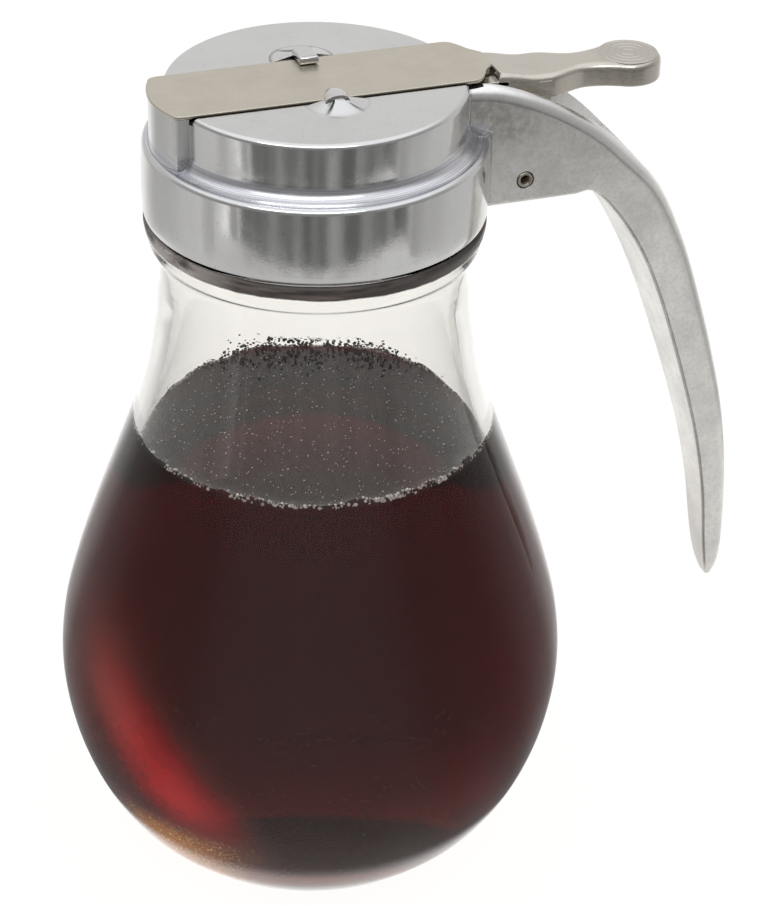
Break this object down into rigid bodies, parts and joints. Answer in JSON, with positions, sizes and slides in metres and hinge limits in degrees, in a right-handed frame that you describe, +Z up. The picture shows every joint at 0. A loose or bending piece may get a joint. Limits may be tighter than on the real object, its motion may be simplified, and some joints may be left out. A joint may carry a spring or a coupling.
{
  "type": "syrup dispenser",
  "caption": "Teardrop glass jar of dark syrup with a cast metal cap, curved drop handle, sprung thumb lever and sliding shutter over the pouring spout.",
  "frame": {"origin": "centre of the jar's flat base, on the jar's axis", "axes": "+Z up along the jar's axis, +X towards the handle, +Y across the handle's width"},
  "size_m": [0.1242, 0.089, 0.1474],
  "materials": {
    "clear_glass": "clear, smooth",
    "syrup": "dark red-brown liquid",
    "cast_cap": "polished casting with satin sides",
    "stainless": "satin sheet",
    "pin_steel": "plain, slightly dull"
  },
  "bodies": {
    "dispenser": {"glass_jar": "clear_glass", "syrup": "syrup", "cap_casting": "cast_cap", "pivot_pin": "pin_steel"},
    "lever": {"thumb_lever": "stainless"},
    "shutter": {"shutter_strip": "stainless"}
  },
  "joints": [
    {"name": "lever_hinge", "type": "hinge", "parent": "dispenser", "child": "lever", "pos_m": [0.0337, 0, 0.1276], "axis": [0, 1, 0], "range_deg": [0, 24], "stiffness_Nm_per_rad": 0.12, "springref_deg": -22.92},
    {"name": "shutter_slide", "type": "slide", "parent": "dispenser", "child": "shutter", "axis": [1, 0, 0], "range_m": [0, 0.0075]}
  ],
  "couplings": [
    {"joint": "shutter_slide", "follows": "lever_hinge", "m_per_rad": 0.017}
  ]
}
